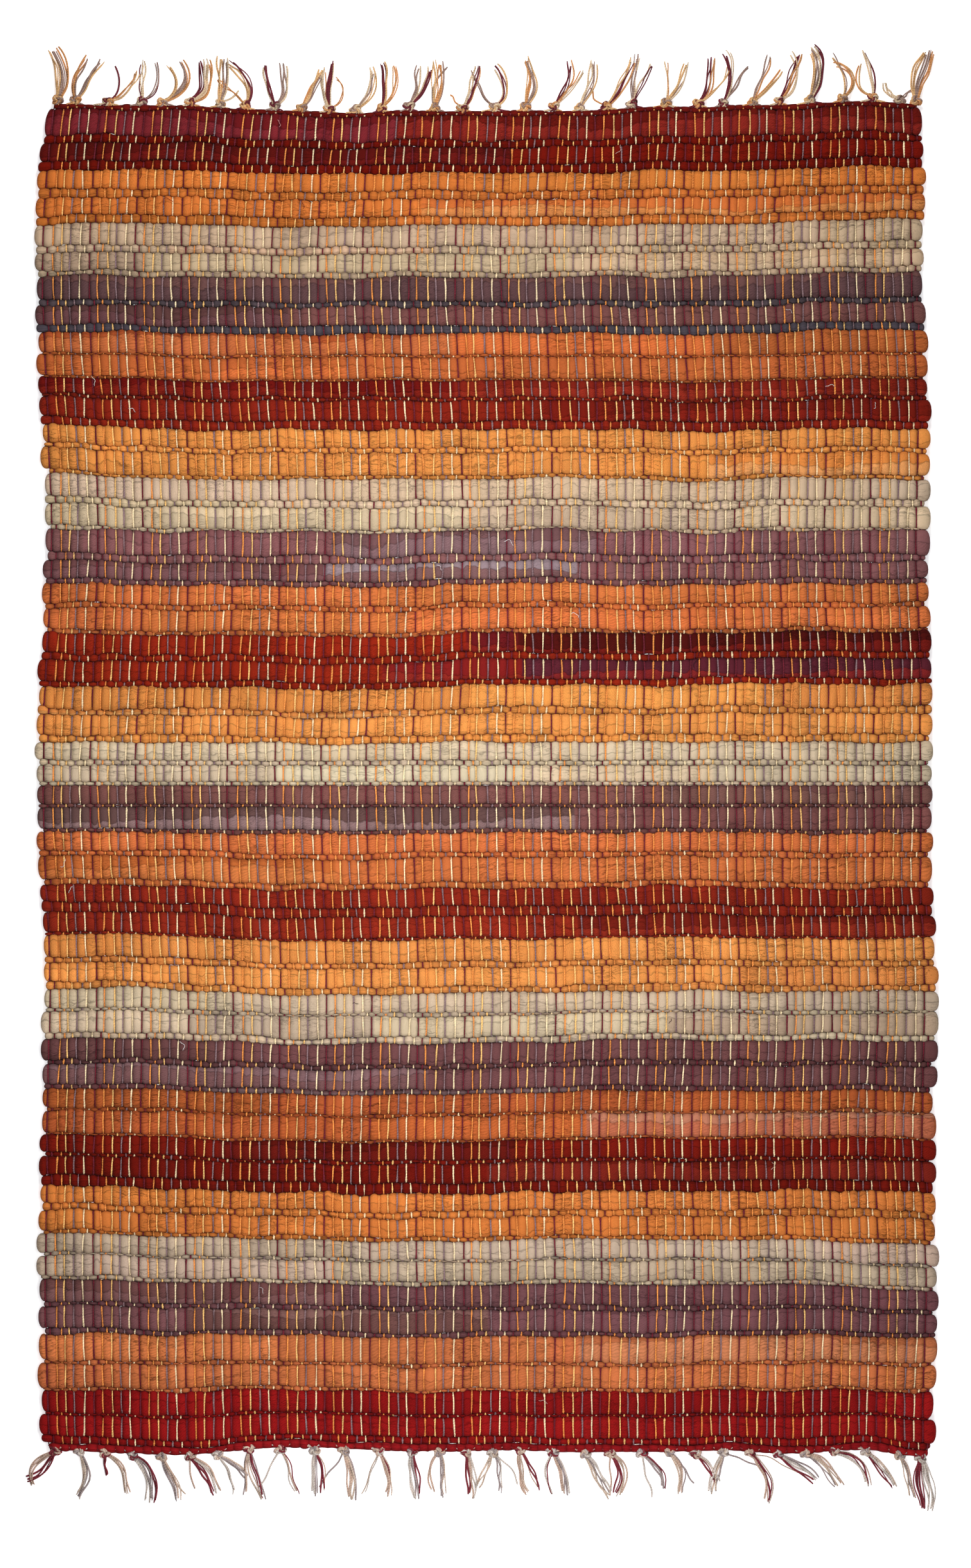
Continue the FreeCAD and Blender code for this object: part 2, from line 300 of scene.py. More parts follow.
def strip_tones(pick, x, chance):
    """The dye of the far and near side of the strip at each x, with joins between odd strips."""
    if pick["kind"] == "header":
        base = linear(HEADER_DYES["far" if pick["stripe"] == 0 else "near"])
    else:
        base = linear(STRIPE_DYES[pick["stripe"] - 1])
        if pick["kind"] == "narrow" and STRIPE_NODES[pick["stripe"] - 1].endswith("tan"):
            base = base * THIN_TAN_LIFT
    lift = 1 + chance.normal(0, 0.035)
    far_tone = np.empty((len(x), 3))
    near_tone = np.empty((len(x), 3))
    start = -HALF_WIDTH - chance.uniform(0, 250)
    while start < HALF_WIDTH:
        stop = start + chance.uniform(120, 420)
        here = (x >= start) & (x < stop)
        shade = lift * (1 + chance.normal(0, 0.06)) * (1 + chance.normal(0, 0.02, 3))
        far_tone[here] = base * shade
        near_tone[here] = base * shade * (1 + chance.normal(0, 0.07))
        start = stop
    for stripe, place, start, stop, far_dye, near_dye in ODD_STRIPS:
        if (stripe, place) == (pick["stripe"], pick["place"]):
            here = (x >= start) & (x < stop)
            far_tone[here], near_tone[here] = linear(far_dye), linear(near_dye)
    return np.clip(far_tone, 0.002, 0.95), np.clip(near_tone, 0.002, 0.95)


def pick_rings(pick, after, chance):
    """Section rings along one pick, from left to right, with the strip's two tones at each ring, how
    much painted shade each point gets where it lies low between the picks or beside a tie, and where
    round the roll its seam runs."""
    kind = pick["kind"]
    form = PICK_FORMS[kind]
    steps = np.array(form["steps"])
    sides = len(form["degrees"])
    ties = ends_at(pick["middle"], pick["over"])
    under_ties = ends_at(pick["middle"], -pick["over"])
    thick = pick["far"] - pick["near"]
    step = {"wide": 0.0, "narrow": np.interp(thick, (3.0, 6.5), (3.2, 0.4)), "header": 5.0}[kind]
    # The thicker a narrow pick is, the higher it stands.
    top = np.clip(5.0 + 0.20 * thick, 5.2, 6.5) if kind == "narrow" else form["top"]
    left = -HALF_WIDTH + step + chance.uniform(-UNEVEN_SIDES, UNEVEN_SIDES)
    right = HALF_WIDTH - step + chance.uniform(-UNEVEN_SIDES, UNEVEN_SIDES)
    between = (ties[:-1, None] + steps[None, :] * np.diff(ties)[:, None]).ravel()
    x = np.concatenate([left + (ties[0] - left) * (1 - LOBE_STEPS[::-1]), between, ties[-1:],
                        ties[-1] + (right - ties[-1]) * LOBE_STEPS])
    above, beside, pillow = puff(x, ties, form["roundness"])
    below, beneath, under_pillow = puff(x, under_ties, form["roundness"])
    # No two pillows are the same: some are fat, some sit low, and their ends step in and out.
    # One more row is drawn than is used.
    fat, fat_under, far_out, near_out, leaning = chance.normal(0, 1, (6, len(ties) + 2))[:5]
    swell = 1 + UNEVEN_HEIGHT * np.clip(fat[pillow], -2, 1.0)
    under_swell = 1 + UNEVEN_HEIGHT * np.clip(fat_under[under_pillow], -2, 1.0)
    far_line = edge_of(pick, x) + (FAR_HEADER_OUT if pick["stripe"] == 0 else 0.0)
    near_line = edge_of(after, x) if after else np.full_like(x, pick["near"] - NEAR_HEADER_OUT)
    half = (far_line - near_line) / 2
    far_half = half + PRESSED + (form["bulge"] + UNEVEN_EDGE * far_out[pillow]) * above
    near_half = half + PRESSED + (form["bulge"] + UNEVEN_EDGE * near_out[pillow]) * above
    middle = (far_line + near_line) / 2
    end = np.clip(np.minimum(x - left, right - x) / form["round_end"], 0, 1)
    end = np.clip(1 - (1 - end) ** END_SQUARE, 0, 1) ** (1 / END_SQUARE)
    end = np.maximum(end, 0.05)
    groove = form["groove"]
    high = MIDDLE + (groove - MIDDLE + (top - groove) * above * swell) * end
    low = MIDDLE - (groove - MIDDLE + (top - groove) * below * under_swell) * end
    angle = np.radians(form["degrees"])
    c, s = np.round(np.cos(angle), 9), np.round(np.sin(angle), 9)
    across = np.sign(c) * np.abs(c) ** (2 / form["square"])
    rise = np.sign(s) * np.abs(s) ** (2 / form["square"])
    # The pillow leans: its far side stands a little higher than its near side, or the other way.
    lean = UNEVEN_LEAN * leaning[pillow][:, None] * across[None, :] * above[:, None]
    # At its middle height a pick keeps against its neighbours; above and below, the ties pull it in.
    half_room = np.where(across[None, :] > 0, far_half[:, None], near_half[:, None])
    tied = np.where(rise[None, :] > 0, 1 - above[:, None], 1 - below[:, None])
    drawn_in = (form["slim"] + form["tuck_in"] * tied) * np.abs(rise[None, :]) ** 0.4
    half_room = np.maximum(half_room - drawn_in, 0.5)
    half_room = half_room * end[:, None]
    y = middle[:, None] + across[None, :] * half_room
    z = MIDDLE + np.where(rise[None, :] > 0, (high - MIDDLE)[:, None] * (1 + lean),
                          (MIDDLE - low)[:, None]) * rise[None, :]
    rings = np.stack([np.repeat(x[:, None], sides, 1), y, np.clip(z, LOWEST, HIGHEST)], -1)
    far_tone, near_tone = strip_tones(pick, x, chance)
    crease = (chance.uniform(0.17, 0.33)
              + 0.05 * np.sin(x / chance.uniform(20, 60) + chance.uniform(0, 6)))
    # Painted shade: points low between the picks and beside a tie are darkened in the strip's colour.
    near_tie = np.where(rise[None, :] >= 0, beside[:, None], beneath[:, None])
    deep = np.clip(1 - np.abs(rings[..., 2] - MIDDLE) / HOLLOW_SHADE_REACH, 0, 1)
    hollow_shade = np.maximum(deep, TIE_SHADE * near_tie)
    return rings, far_tone, near_tone, hollow_shade, crease


def rolled_mesh(name, runs):
    """One mesh of closed tubes. Each run is rings of points in millimetres, with values for its
    rings by the name of the attribute that holds them, and the length along it."""
    points, quads, quad_uvs, caps, cap_uvs = [], [], [], [], []
    values = {key: [] for key in runs[0]["values"]}
    first = 0
    for run in runs:
        rings = run["rings"]
        count, sides = rings.shape[:2]
        along = run["along"]
        points.append(rings.reshape(-1, 3))
        ring, side = np.meshgrid(np.arange(count - 1), np.arange(sides), indexing="ij")
        after = (side + 1) % sides
        quads.append((first + np.stack([ring * sides + side, ring * sides + after,
                                        (ring + 1) * sides + after, (ring + 1) * sides + side], -1)
                      ).reshape(-1, 4))
        low, high = side / sides, (side + 1) / sides
        quad_uvs.append(np.stack([np.stack([along[ring], low], -1), np.stack([along[ring], high], -1),
                                  np.stack([along[ring + 1], high], -1),
                                  np.stack([along[ring + 1], low], -1)], -2).reshape(-1, 2))
        around = np.arange(sides)
        last = first + (count - 1) * sides
        caps += [(first + around[::-1]).tolist(), (last + around).tolist()]
        cap_uvs += [np.stack([np.full(sides, along[0]), around[::-1] / sides], -1),
                    np.stack([np.full(sides, along[-1]), around / sides], -1)]
        for key, value in run["values"].items():
            by_point = value.shape[1:] == (sides,)
            values[key].append(value.ravel() if by_point else np.repeat(value, sides, 0))
        first += count * sides
    points, quads = np.concatenate(points), np.concatenate(quads)
    mesh = bpy.data.meshes.new(name)
    mesh.from_pydata((points * MM).tolist(), [], quads.tolist() + caps)
    uv = mesh.uv_layers.new(name="strip")
    uv.data.foreach_set("uv", np.concatenate(quad_uvs + cap_uvs).astype(np.float32).ravel())
    for key, value in values.items():
        value = np.concatenate(value)
        if value.ndim == 2:
            layer = mesh.attributes.new(key, "FLOAT_COLOR", "POINT")
            layer.data.foreach_set("color", np.column_stack(
                [value, np.ones(len(value))]).astype(np.float32).ravel())
        else:
            layer = mesh.attributes.new(key, "FLOAT", "POINT")
            layer.data.foreach_set("value", value.astype(np.float32))
    mesh.polygons.foreach_set("use_smooth", np.ones(len(mesh.polygons), bool))
    mesh.update()
    piece = bpy.data.objects.new(name, mesh)
    bpy.context.scene.collection.objects.link(piece)
    return piece


# The strips' finish. The wires of a material are made by name, so that they read as they run.
def put(tree, kind, **settings):
    """A node in the tree. Settings by name set its own properties or, where a socket has that
    name, with _ for a space, the socket's value, or a wire to it from another socket."""
    node = tree.nodes.new("ShaderNode" + kind)
    for key, value in settings.items():
        if hasattr(node, key) and not isinstance(value, bpy.types.NodeSocket):
            setattr(node, key, value)
            continue
        name = key.replace("_", " ")
        place = int(key[3:]) if key.startswith("in_") else None
        socket = node.inputs[place] if place is not None else next(
            item for item in node.inputs if item.name == name and item.enabled)
        if isinstance(value, bpy.types.NodeSocket):
            tree.links.new(value, socket)
        else:
            socket.default_value = value
    return node


def sums(tree, operation, first, second=0.0, third=0.0):
    """The result of a sum, whose numbers are plain or come by wire."""
    node = put(tree, "Math", operation=operation)
    for socket, value in zip(node.inputs, (first, second, third)):
        if isinstance(value, bpy.types.NodeSocket):
            tree.links.new(value, socket)
        else:
            socket.default_value = value
    return node.outputs[0]


def spread(tree, value, low, high, to_low=0.0, to_high=1.0):
    """The value, which runs from low to high, made to run from to_low to to_high."""
    node = put(tree, "MapRange", Value=value, From_Min=low, From_Max=high, To_Min=to_low,
               To_Max=to_high)
    return node.outputs[0]


def effect_group(name, inputs, outputs):
    """An empty node group with named sockets: (kind, name, value) each, the value for inputs."""
    group = bpy.data.node_groups.new(name, "ShaderNodeTree")
    for kind, socket, value in inputs:
        made = group.interface.new_socket(socket, in_out="INPUT", socket_type="NodeSocket" + kind)
        if value is not None:
            made.default_value = value
    for kind, socket in outputs:
        group.interface.new_socket(socket, in_out="OUTPUT", socket_type="NodeSocket" + kind)
    return group, group.nodes.new("NodeGroupInput"), group.nodes.new("NodeGroupOutput")


# Knitted cotton seen close: fine slanting ribs that come and go, fuzz, and creases that run along the
# rolled strip, darkened with painted shade. The ribs show best on the side of the roll where the
# knit's right side is out.
knit, into, out = effect_group(
    "knitted strip", [("Vector", "Strip", None), ("Vector", "Place", None),
                      ("Float", "Right side", 0.0), ("Float", "Pitch", 0.7), ("Float", "Slant", 0.8),
                      ("Float", "Ribs", 0.12), ("Float", "Creases", 1.0)],
    [("Float", "Shade"), ("Float", "Height")])
apart = put(knit, "SeparateXYZ", Vector=into.outputs["Strip"])
along, around = apart.outputs[0], apart.outputs[1]
wobble = put(knit, "TexNoise", Vector=into.outputs["Place"], Scale=120.0, Detail=2.0).outputs[0]
slant = into.outputs["Slant"]
way = sums(knit, "MULTIPLY_ADD", along, sums(knit, "COSINE", slant),
           sums(knit, "MULTIPLY", sums(knit, "MULTIPLY", around, 0.031), sums(knit, "SINE", slant)))
rows = sums(knit, "DIVIDE", way, sums(knit, "MULTIPLY", into.outputs["Pitch"], MM))
rows = sums(knit, "MULTIPLY_ADD", wobble, 3.0, rows)
ribs = sums(knit, "SINE", sums(knit, "MULTIPLY", rows, 2 * math.pi))
patches = put(knit, "TexNoise", Vector=into.outputs["Place"], Scale=60.0, Detail=2.0).outputs[0]
shows = sums(knit, "MAXIMUM", spread(knit, patches, 0.48, 0.60),
             sums(knit, "MULTIPLY", into.outputs["Right side"], 0.9))
ribs = sums(knit, "MULTIPLY", ribs, shows)
fuzz = put(knit, "TexNoise", Vector=into.outputs["Place"], Scale=1300.0, Detail=3.0).outputs[0]
stretched = put(knit, "CombineXYZ", X=sums(knit, "MULTIPLY", along, 60.0),
                Y=sums(knit, "MULTIPLY", around, 17.0)).outputs[0]
folds = put(knit, "TexNoise", Vector=stretched, Scale=1.0, Detail=3.0, Roughness=0.55).outputs[0]
ridge = sums(knit, "ABSOLUTE", sums(knit, "SUBTRACT", folds, 0.5))
crease = spread(knit, ridge, 0.0, 0.026, 1.0, 0.0)
deep = spread(knit, put(knit, "TexNoise", Vector=into.outputs["Place"], Scale=30.0).outputs[0],
              0.40, 0.58)
crease = sums(knit, "MULTIPLY", sums(knit, "MULTIPLY", crease, deep), into.outputs["Creases"])
shade = sums(knit, "MULTIPLY_ADD", ribs, into.outputs["Ribs"], 1.0)
shade = sums(knit, "MULTIPLY_ADD", sums(knit, "SUBTRACT", fuzz, 0.5), 0.42, shade)
# Painted shade in the creases.
shade = sums(knit, "MULTIPLY_ADD", crease, -0.50, shade)
height = sums(knit, "MULTIPLY_ADD", ribs, 0.20, sums(knit, "MULTIPLY", fuzz, 0.35))
height = sums(knit, "MULTIPLY_ADD", crease, -0.9, height)
height = sums(knit, "MULTIPLY_ADD", folds, 1.0, height)
knit.links.new(shade, out.inputs["Shade"])
knit.links.new(height, out.inputs["Height"])


def cotton(name, group, roughness, gloss, sheen):
    """A cotton material with a node of the group, which knows the way along the strip or yarn."""
    material = bpy.data.materials.new(name)
    material.use_nodes = True
    tree = material.node_tree
    shader = tree.nodes["Principled BSDF"]
    shader.inputs["Roughness"].default_value = roughness
    shader.inputs["Specular IOR Level"].default_value = gloss
    shader.inputs["Sheen Weight"].default_value = sheen
    grain = tree.nodes.new("ShaderNodeGroup")
    grain.node_tree = group
    tree.links.new(put(tree, "UVMap", uv_map="strip").outputs[0], grain.inputs["Strip"])
    tree.links.new(put(tree, "TexCoord").outputs["Object"], grain.inputs["Place"])
    return material, tree, shader, grain


def strip_cotton(name, creases, pitch, slant, ribs):
    """Knitted cotton strip. Its dyes come with the mesh: one for each side of the roll."""
    material, tree, shader, grain = cotton(name, knit, 0.95, 0.04, 0.02)
    for socket, value in (("Creases", creases), ("Pitch", pitch), ("Slant", slant), ("Ribs", ribs)):
        grain.inputs[socket].default_value = value
    far_dye = put(tree, "Attribute", attribute_name="far_dye").outputs["Color"]
    near_dye = put(tree, "Attribute", attribute_name="near_dye").outputs["Color"]
    seam = put(tree, "Attribute", attribute_name="seam").outputs["Fac"]
    hollow_shade = put(tree, "Attribute", attribute_name="hollow_shade").outputs["Fac"]
    strip = put(tree, "UVMap", uv_map="strip").outputs[0]
    place = put(tree, "TexCoord").outputs["Object"]
    around = put(tree, "SeparateXYZ", Vector=strip).outputs[1]
    waver = put(tree, "TexNoise", Vector=place, Scale=120.0, Detail=2.0).outputs[0]
    beyond = sums(tree, "SUBTRACT", sums(tree, "FRACT", around),
                  sums(tree, "MULTIPLY_ADD", sums(tree, "SUBTRACT", waver, 0.5), 0.16, seam))
    side = spread(tree, beyond, -0.006, 0.006)
    tree.links.new(side, grain.inputs["Right side"])
    tone = put(tree, "Mix", data_type="RGBA", blend_type="MIX")
    tree.links.new(side, tone.inputs[0])
    tree.links.new(far_dye, tone.inputs[6])
    tree.links.new(near_dye, tone.inputs[7])
    line = spread(tree, sums(tree, "ABSOLUTE", beyond), 0.0, 0.013, 0.58, 1.0)
    blotch = spread(tree, put(tree, "TexNoise", Vector=place, Scale=36.0, Detail=4.0).outputs[0],
                    0.3, 0.7, 0.88, 1.10)
    value = sums(tree, "MULTIPLY", grain.outputs["Shade"], blotch)
    value = sums(tree, "MULTIPLY", value, line)
    # Painted shade: darker low between the picks and beside the ties, a little lighter where there is
    # none.
    value = sums(tree, "MULTIPLY", value,
                 sums(tree, "MULTIPLY_ADD", sums(tree, "POWER", hollow_shade, 1.3), -0.80, 1.10))
    final = put(tree, "VectorMath", operation="SCALE", Vector=tone.outputs[2], Scale=value).outputs[0]
    tree.links.new(final, shader.inputs["Base Color"])
    bump = put(tree, "Bump", Height=sums(tree, "MULTIPLY_ADD", line, 0.5, grain.outputs["Height"]),
               Strength=0.75, Distance=0.35 * MM)
    tree.links.new(bump.outputs[0], shader.inputs["Normal"])
    return material


# Creases, pitch of the ribs in millimetres, their slant in radians and their depth, for each colour.
cottons = {colour: strip_cotton(f"knitted cotton strip, {colour}", *finish)
           for colour, finish in {
               "red": (0.7, 0.85, 1.2, 0.10), "gold": (1.0, 0.75, 0.7, 0.13),
               "tan": (0.9, 0.62, 0.75, 0.15), "purple": (0.6, 0.80, 1.3, 0.09),
               "rust": (1.0, 1.00, 1.42, 0.12)}.items()}


def weft_piece(name, its_picks, colour, body, *nodes):
    """A piece of the weft from picks that lie side by side, in place of its CAD strip."""
    runs = []
    for pick in its_picks:
        number = picks.index(pick)
        after = picks[number + 1] if number + 1 < len(picks) else None
        chance = np.random.default_rng(1000 + number)
        rings, far_tone, near_tone, hollow_shade, crease = pick_rings(pick, after, chance)
        runs.append({"rings": settled(rings), "along": rings[:, 0, 0] * MM + chance.uniform(0, 5),
                     "values": {"far_dye": far_tone, "near_dye": near_tone, "hollow_shade": hollow_shade,
                                "seam": crease}})
    piece = rolled_mesh(name, runs)
    piece.data.materials.append(cottons[colour])
    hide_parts(*nodes)
    if body == "both":
        turn_with_fold(piece)
    else:
        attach(piece, body)
    return piece


FAR_FOLD_STRIPE, NEAR_FOLD_STRIPE = 13, 14


def turn_with_fold(piece):
    """The piece crosses the fold line; its place is baked into its mesh and it goes with neither half.
    """
    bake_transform(piece)


for stripe, node in enumerate(STRIPE_NODES, start=1):
    its_picks = [pick for pick in picks if pick["stripe"] == stripe]
    body = "far_half" if stripe < FAR_FOLD_STRIPE else "near_half"
    if stripe in (FAR_FOLD_STRIPE, NEAR_FOLD_STRIPE):
        body = "both"
    piece = weft_piece(node.replace("weft_band", "strip"), its_picks, node.split("_")[-1], body, node)

# The tight header picks at the ends.
header_far = weft_piece("header_strip_far", [picks[0]], "red", "far_half", "header_pick_far")
header_near = weft_piece("header_strip_near", [picks[-1]], "red", "near_half", "header_pick_near")


# ----------------------------------------
# Warp yarns
# 96 pairs of two-ply cotton, five colours in turn. Each end goes over one pick and under the next
# for the whole length of the rug, and lies in the groove that it pulls into the strip.
# ----------------------------------------

YARN_SIDES = 5
YARN_HALF_WIDTH, YARN_HALF_HEIGHT = 0.66, 0.44
PINCHED = 0.62                  # of its width, where it dives between two picks
WARP_DYES = {"burgundy": "#6e2230", "orange": "#f0984c", "gold": "#f8c67a", "grey": "#8c7276",
             "cream": "#fbe4b8"}
WARP_COLOURS = list(WARP_DYES)
SIT = 0.42                      # of the yarn's middle above the groove


def yarn_stations(which):
    """Y and height of one end's middle at each station, from the far pick to the near one, and the
    number of the pick whose far line it crosses there, or -1 within a pick."""
    stations = []
    for number, pick in enumerate(picks):
        half = (pick["far"] - pick["near"]) / 2
        over = pick["over"] == which
        away = (PICK_FORMS[pick["kind"]]["groove"] - MIDDLE + SIT) * (1 if over else -1)
        if number:
            stations.append((pick["far"], MIDDLE, number))
        if pick["kind"] == "wide":
            stations += [(pick["middle"] + step * half, MIDDLE + away * fall, -1)
                         for step, fall in ((0.74, 0.82), (0.0, 1.0), (-0.74, 0.82))]
        else:
            stations.append((pick["middle"], MIDDLE + away, -1))
    return stations


def yarn_run(pair, which):
    """Rings of one warp end."""
    y, z, crossed = (np.array(column, float) for column in zip(*yarn_stations(which)))
    chance = np.random.default_rng(5000 + pair * 2 + (which > 0))
    slant = (0.30 * np.sin(y / 9.0 + chance.uniform(0, 6))
             + 0.26 * np.sin(y / 3.3 + chance.uniform(0, 6)))
    x = ends_at(y, which)[:, pair] + slant
    # The line between two picks wanders, so the crossing moves with it.
    for place in np.flatnonzero(crossed >= 0):
        y[place] = edge_of(picks[int(crossed[place])], x[place:place + 1])[0]
    angle = 2 * np.pi * (np.arange(YARN_SIDES) + 0.25) / YARN_SIDES
    heading = np.gradient(z) / np.minimum(np.gradient(y), -0.1)
    up = 1 / np.sqrt(1 + heading ** 2)
    width = YARN_HALF_WIDTH * (1 + 0.16 * np.sin(y / 2.3 + chance.uniform(0, 6)))
    width = width * np.where(crossed >= 0, PINCHED, 1.0)
    # Rings turn with the yarn as it climbs and dives; it runs towards -Y, so they go the other way.
    rings = np.stack([x[:, None] - width[:, None] * np.cos(angle)[None, :],
                      y[:, None] - (YARN_HALF_HEIGHT * heading * up)[:, None] * np.sin(angle)[None, :],
                      z[:, None] + (YARN_HALF_HEIGHT * up)[:, None] * np.sin(angle)[None, :]], -1)
    along = np.concatenate([[0], np.cumsum(np.hypot(np.diff(y), np.diff(z)))]) * MM
    return {"rings": settled(rings), "along": along + chance.uniform(0, 1), "values": {}}


# Plied yarn: two plies twisted together, with loose fibres.
ply, into, out = effect_group(
    "two-ply twist", [("Vector", "Strip", None), ("Vector", "Place", None),
                      ("Float", "Twist", 1.7)],
    [("Float", "Shade"), ("Float", "Height")])
apart = put(ply, "SeparateXYZ", Vector=into.outputs["Strip"])
turns = sums(ply, "DIVIDE", apart.outputs[0], sums(ply, "MULTIPLY", into.outputs["Twist"], MM))
turns = sums(ply, "ADD", turns, sums(ply, "MULTIPLY", apart.outputs[1], 2.0))
plies = sums(ply, "SINE", sums(ply, "MULTIPLY", turns, 2 * math.pi))
fibre = put(ply, "TexNoise", Vector=into.outputs["Place"], Scale=1800.0, Detail=3.0).outputs[0]
faded = put(ply, "TexNoise", Vector=into.outputs["Place"], Scale=130.0, Detail=2.0).outputs[0]
shade = sums(ply, "MULTIPLY_ADD", plies, 0.10, 1.0)
shade = sums(ply, "MULTIPLY_ADD", sums(ply, "SUBTRACT", fibre, 0.5), 0.6, shade)
shade = sums(ply, "MULTIPLY_ADD", sums(ply, "SUBTRACT", faded, 0.5), 0.9, shade)
ply.links.new(shade, out.inputs["Shade"])
ply.links.new(sums(ply, "MULTIPLY_ADD", fibre, 0.8, sums(ply, "MULTIPLY", plies, 0.5)),
              out.inputs["Height"])


def yarn_cotton(name, dye=None):
    """Two-ply cotton yarn of one dye or, with none given, of the dyes that come with the mesh."""
    material, tree, shader, twist = cotton(name, ply, 0.85, 0.12, 0.03)
    colour = put(tree, "VectorMath", operation="SCALE", Scale=twist.outputs["Shade"])
    if dye is None:
        tree.links.new(put(tree, "Attribute", attribute_name="dye").outputs["Color"], colour.inputs[0])
    else:
        colour.inputs[0].default_value = tuple(linear(dye))
    tree.links.new(colour.outputs[0], shader.inputs["Base Color"])
    bump = put(tree, "Bump", Height=twist.outputs["Height"], Strength=0.8, Distance=0.25 * MM)
    tree.links.new(bump.outputs[0], shader.inputs["Normal"])
    return material


yarns = {colour: yarn_cotton(f"{colour} warp yarn", dye) for colour, dye in WARP_DYES.items()}

for first, colour in enumerate(WARP_COLOURS):
    piece = rolled_mesh(f"warp_yarns_{colour}", [yarn_run(pair, which) for pair in range(
        first, WARP_PAIRS, len(WARP_COLOURS)) for which in (-1, 1)])
    piece.data.materials.append(yarns[colour])
    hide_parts(f"warp_{colour}_near", f"warp_{colour}_far")
    turn_with_fold(piece)


# ----------------------------------------
# Fringe
# The warp ends, mostly six at a time, are tied in an overhand knot against the end of the rug. Their
# loose ends lie on the floor, some still bunched and some sprung apart.
# ----------------------------------------

# How many pairs are tied in each bunch, from the left: three, but for a few.
BUNCH_PAIRS = {
    "far": [1, 3, 4] + [3] * 13 + [4] + [3] * 5 + [4] + [3] * 4 + [4, 3, 4, 2, 1],
    "near": [2] + [3] * 6 + [4, 3, 4, 3, 4] + [3] * 5 + [4] + [3] * 10 + [4, 3, 2]}
KNOT_OUT = 2.9                  # middle of the knot beyond the end of the weaving
KNOT_HEIGHT = 3.4
KNOT_SIZE = np.array([3.3, 2.6, 1.8])
KNOT_YARN_RADIUS, TAUT_RADIUS, THREAD_RADIUS = 0.78, 0.58, 0.63
SHORTEST = 0.86                 # thread of a group, as a share of the longest
FLOOR_GAP = 0.15
# Off the weaving the dyes look paler, and at the near end duller and pinker.
FRINGE_DYES = {
    "far": {"burgundy": "#6e2a33", "orange": "#d0935f", "gold": "#d9ae7c", "grey": "#a08478",
            "cream": "#d9bf9f"},
    "near": {"burgundy": "#84323c", "orange": "#ccae9c", "gold": "#cfb8a6", "grey": "#a89896",
             "cream": "#d3c6bc"}}


def tube(path, radius, sides, dye, flat=1.0):
    """Rings of a thread along a path, with its dye."""
    path = np.asarray(path, float)
    way = np.gradient(path, axis=0)
    way /= np.linalg.norm(way, axis=1)[:, None] + 1e-9
    up = np.tile([0.0, 0.0, 1.0], (len(path), 1))
    side = np.cross(way, up)
    small = np.linalg.norm(side, axis=1) < 0.2
    side[small] = np.cross(way[small], [1.0, 0.0, 0.0])
    side /= np.linalg.norm(side, axis=1)[:, None]
    top = np.cross(side, way)
    angle = 2 * np.pi * np.arange(sides) / sides
    radius = np.broadcast_to(radius, len(path))[:, None, None]
    rings = path[:, None, :] + radius * (side[:, None, :] * np.cos(angle)[None, :, None]
                                         + flat * top[:, None, :] * np.sin(angle)[None, :, None])
    along = np.concatenate([[0], np.cumsum(np.linalg.norm(np.diff(path, axis=0), axis=1))]) * MM
    return {"rings": rings, "along": along, "values": {"dye": np.tile(linear(dye), (len(path), 1))}}


def overhand_knot(middle, size, dyes, chance):
    """Three yarns wound together into a small tight knot."""
    t = np.linspace(0, 2 * np.pi, 30)
    turn = chance.uniform(0, 2 * np.pi)
    loop = np.stack([np.sin(t) + 2 * np.sin(2 * t), np.cos(t) - 2 * np.cos(2 * t), -np.sin(3 * t)], -1)
    loop = loop * [1 / 3.0, 1 / 3.0, 1.0]
    way = np.gradient(loop, axis=0)
    way /= np.linalg.norm(way, axis=1)[:, None]
    side = np.cross(way, [0.3, 0.2, 1.0])
    side /= np.linalg.norm(side, axis=1)[:, None]
    top = np.cross(side, way)
    c, s = math.cos(turn), math.sin(turn)
    runs = []
    for place in range(3):
        dye = dyes[place % len(dyes)]
        ahead = place * 2 * np.pi / 3 + t * 1.7
        bundle = loop + 0.24 * (side * np.cos(ahead)[:, None] + top * np.sin(ahead)[:, None])
        bundle = np.stack([bundle[:, 0] * c - bundle[:, 1] * s, bundle[:, 0] * s + bundle[:, 1] * c,
                           bundle[:, 2]], -1)
        runs.append(tube(middle + bundle * size, KNOT_YARN_RADIUS, YARN_SIDES, dye))
    return runs


